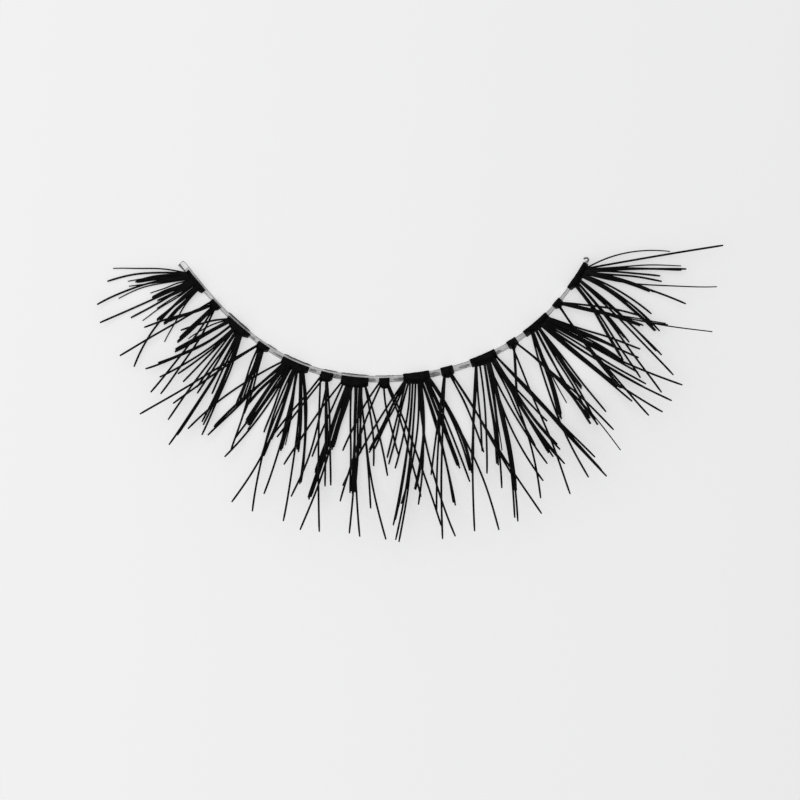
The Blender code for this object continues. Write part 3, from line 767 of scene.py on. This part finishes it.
def knot_profile(covers_top, depth, wall, top_wall):
    """Section of a knot as (across the ribbon, off its face), open to the hollow side."""
    inner_edge = 0.5 * BAND_WIDTH + KNOT_CLEARANCE
    inner_face = 0.5 * BAND_THICKNESS + KNOT_CLEARANCE
    lip = 0.5 * BAND_WIDTH - KNOT_BACK_LIP
    back = [(-lip, -inner_face), (-inner_edge, -inner_face), (-inner_edge, inner_face)]
    lump = [(across * BAND_WIDTH, inner_face + off * (depth - inner_face))
            for across, off in KNOT_LUMP]
    bottom = [(-inner_edge - wall, inner_face), (-inner_edge - wall, -inner_face),
              (-inner_edge, -inner_face - wall), (-lip, -inner_face - wall)]
    if covers_top:
        shoulder = inner_face + COVERING_KNOT_SHOULDER[1] * (depth - inner_face)
        top = [(inner_edge, inner_face), (inner_edge, -inner_face), (lip, -inner_face),
               (lip, -inner_face - top_wall), (inner_edge, -inner_face - top_wall),
               (inner_edge + COVERING_KNOT_BACK_CORNER[0] * top_wall,
                -inner_face - COVERING_KNOT_BACK_CORNER[1] * top_wall),
               (inner_edge + top_wall, -inner_face), (inner_edge + top_wall, inner_face),
               (inner_edge + COVERING_KNOT_FRONT_CORNER[0] * top_wall,
                inner_face + COVERING_KNOT_FRONT_CORNER[1] * top_wall),
               (COVERING_KNOT_SHOULDER[0] * BAND_WIDTH, shoulder)]
    else:
        top = [(OPEN_KNOT_TOP * BAND_WIDTH, inner_face),
               (OPEN_KNOT_TOP * BAND_WIDTH, inner_face + OPEN_KNOT_RIM * wall)]
    return back + top + lump + bottom


def make_knot(number, tuft, knot, material):
    """A wound and glued knot: thread ridges under an uneven skin of glue."""
    start, end, covers_top, depths = knot
    least = min(depths)
    most = max(depths)
    rings = []
    for step in range(KNOT_STEPS + 1):
        place = 0.5 - 0.5 * math.cos(math.pi * step / KNOT_STEPS)
        distance = start + (end - start) * place
        share = tuft["centre"] + distance / BAND_LENGTH
        tilt = math.radians(smooth_value(TILTS, share))
        seen = smooth_value(depths, place)
        from_end = min(max(min(distance - start, end - distance), 0) / KNOT_END_ROUNDING, 1)
        closing = KNOT_END_WALL + (1 - KNOT_END_WALL) * math.sqrt(1 - (1 - from_end) ** 2)
        fullness = KNOT_LEAST_SHARE + (1 - KNOT_LEAST_SHARE) * (seen - least) / (most - least)
        uneven = noise.noise(Vector((distance / KNOT_BUMP_SIZE, KNOT_NOISE_STEP * number, 0)))
        wall = (KNOT_WALL * fullness * closing
                * min(1 + KNOT_WALL_UNEVENNESS * uneven, KNOT_WALL_MOST))
        top_wall = KNOT_WALL * KNOT_TOP_SHARE * closing * (1 + KNOT_TOP_UNEVENNESS * uneven)
        stands_out = seen + KNOT_LUMP_MIDDLE * BAND_WIDTH * math.sin(tilt)
        depth = (stands_out / math.cos(tilt)
                 * (KNOT_END_DEPTH + (1 - KNOT_END_DEPTH) * closing))
        depth = max(depth, 0.5 * BAND_THICKNESS + KNOT_CLEARANCE + KNOT_LEAST_DEPTH * wall)
        ridge = KNOT_TURN_HEIGHT * math.sin(2 * math.pi * distance / KNOT_TURN_LENGTH)
        ring = []
        for across, off in knot_profile(covers_top, depth, wall, top_wall):
            spot = ribbon_place(share, across, off)
            # The walls close round the ribbon stay smooth
            if off > 0.5 * BAND_THICKNESS + 2 * KNOT_CLEARANCE:
                bump = noise.noise(spot / KNOT_BUMP_SIZE) * KNOT_BUMP_HEIGHT
                spot = ribbon_place(share, across, off + bump + ridge)
            ring.append(spot)
        rings.append(ring)
    mesh = bmesh.new()
    add_rings(mesh, rings)
    piece = add_piece("knot_%02d" % number, mesh, material)
    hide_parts("tuft_%02d" % number)
    return piece


def hair_points(tuft, layer, row, chance):
    """Points of one hair from its knot to its tip."""
    root, lean, reach, bow = row[:4]
    along, outward = directions(tuft["centre"])
    length = KNOT_LENGTHS[tuft["knot"]]
    root_share = tuft["centre"] + 0.5 * root * ROOT_SPAN_SHARE * length / BAND_LENGTH
    start = band_point(root_share) + directions(root_share)[1] * (ROOT_DEPTH - ROOT_BACK)
    angle = math.radians(lean)
    tip = (band_point(tuft["centre"])
           + reach * LASH_REACH * (outward * math.cos(angle) + along * math.sin(angle)))
    chord = tip - start
    side = Vector((-chord.y, chord.x))
    control = (start + tip) / 2 + 2 * bow * side
    wave = chance.uniform(-1, 1) * HAIR_WAVE
    lift = chance.uniform(0, 1) * HAIR_LIFT
    points = []
    for step in range(HAIR_STEPS + 1):
        t = step / HAIR_STEPS
        plan = (1 - t) ** 2 * start + 2 * t * (1 - t) * control + t ** 2 * tip
        plan = plan + side.normalized() * wave * math.sin(2 * math.pi * t) * math.sin(math.pi * t)
        height = lash_height(distance_to_band(plan), layer) + 0.5 * LOCK_THICKNESS
        points.append(Vector((plan.x, plan.y, height + lift * math.sin(0.5 * math.pi * t))))
    return points


def hair_radii(points, thickness):
    """Full thickness to near the tip, which is cut blunt, and a thin hair drawn out."""
    length = sum((b - a).length for a, b in zip(points, points[1:]))
    radii = []
    for index in range(len(points)):
        t = index / (len(points) - 1)
        if thickness == THIN:
            share = 1 - THIN_TAPER * t ** 2
        else:
            to_tip = (1 - t) * length
            from_tip = min(to_tip / BLUNT_TIP_LENGTH, 1)
            share = BLUNT_TIP_SHARE + (1 - BLUNT_TIP_SHARE) * from_tip ** 0.5
        glue = 1 + ROOT_GLUE_SHARE * math.exp(-(t * length / ROOT_GLUE_LENGTH) ** 2)
        radii.append(0.5 * thickness * share * glue)
    return radii


def make_hairs(number, tuft, material):
    """All hairs of one tuft in one piece."""
    layer = LAYER_ORDER[(number - 1) % len(LAYER_ORDER)]
    chance = random.Random(number)
    mesh = bmesh.new()
    for row in tuft["rows"]:
        points = hair_points(tuft, layer, row, chance)
        add_tube(mesh, points, hair_radii(points, row[4]), HAIR_SIDES)
    piece = add_piece("hairs_%02d" % number, mesh, material)
    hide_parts("tuft_%02d" % number)
    return piece


def make_floor():
    """Pale matt table top, a little darker to the right as painted shade, and glowing as painted
    fill light.
    """
    mesh = bmesh.new()
    bmesh.ops.create_grid(mesh, x_segments=1, y_segments=1, size=FLOOR_HALF_SIDE)
    data = bpy.data.meshes.new("floor")
    mesh.to_mesh(data)
    mesh.free()
    floor = bpy.data.objects.new("floor", data)
    floor.location = (0, 0, -FLOOR_GAP)
    bpy.context.scene.collection.objects.link(floor)
    material, nodes, links, shader = new_material("pale_table_painted_light")
    place = nodes.new("ShaderNodeTexCoord")
    split = nodes.new("ShaderNodeSeparateXYZ")
    links.new(place.outputs["Object"], split.inputs["Vector"])
    spread = nodes.new("ShaderNodeMapRange")
    spread.inputs["From Min"].default_value = -FLOOR_SHADE_REACH
    spread.inputs["From Max"].default_value = FLOOR_SHADE_REACH
    links.new(split.outputs["X"], spread.inputs["Value"])
    # Painted shade: the colour darkens to the right, and the table glows in that colour as painted
    # fill light
    tint = ramp_node(nodes, links, spread.outputs["Result"], FLOOR_LEFT_LIT, FLOOR_RIGHT_SHADED, 0, 1)
    links.new(tint.outputs["Color"], shader.inputs["Base Color"])
    links.new(tint.outputs["Color"], shader.inputs["Emission Color"])
    shader.inputs["Emission Strength"].default_value = FLOOR_PAINTED_FILL_GLOW
    shader.inputs["Roughness"].default_value = FLOOR_ROUGHNESS
    shader.inputs["Specular IOR Level"].default_value = FLOOR_SPECULAR
    data.materials.append(material)


def add_light(name, place, size, power):
    data = bpy.data.lights.new(name, "AREA")
    data.size = size
    data.energy = power
    light = bpy.data.objects.new(name, data)
    light.location = place
    light.rotation_euler = (-Vector(place)).to_track_quat("-Z", "Y").to_euler()
    bpy.context.scene.collection.objects.link(light)


def make_lights():
    """Even, almost shadowless light, as in a light tent."""
    for name, place, side, power in LIGHTS:
        add_light(name, place, side, power)
    world = bpy.data.worlds.new("studio")
    world.use_nodes = True
    background = world.node_tree.nodes["Background"]
    background.inputs["Color"].default_value = grey(1.0)
    background.inputs["Strength"].default_value = WORLD_STRENGTH
    bpy.context.scene.world = world


def make_camera():
    """Looks straight down, with the photograph's middle where the strip's pixels put it."""
    data = bpy.data.cameras.new("camera")
    data.sensor_width = SENSOR_WIDTH
    data.lens = SENSOR_WIDTH * CAMERA_DISTANCE / (PHOTO_SIZE * PIXEL)
    data.clip_start, data.clip_end = CAMERA_CLIP
    camera = bpy.data.objects.new("camera", data)
    across = (PHOTO_SIZE / 2 - BAND_MIDDLE_PIXEL[0]) * PIXEL
    down = (PHOTO_SIZE / 2 - BAND_MIDDLE_PIXEL[1]) * PIXEL
    camera.location = (SHIFT.x + across, SHIFT.y - down, CAMERA_DISTANCE)
    bpy.context.scene.collection.objects.link(camera)
    bpy.context.scene.camera = camera


def main():
    make_camera()
    make_floor()
    make_lights()
    make_band(band_material(), tab_material())
    make_rims(rim_edge_shade_material())
    make_end_curls(curl_edge_shade_material())
    make_thread(thread_material())
    make_glue(glue_material())
    knot_black = knot_material()
    hair_black = hair_material()
    for number, (tuft, knot) in enumerate(zip(TUFTS, KNOTS), start=1):
        make_knot(number, tuft, knot, knot_black)
        make_hairs(number, tuft, hair_black)
    bpy.context.scene.view_settings.view_transform = "Standard"
    bpy.context.view_layer.update()


main()
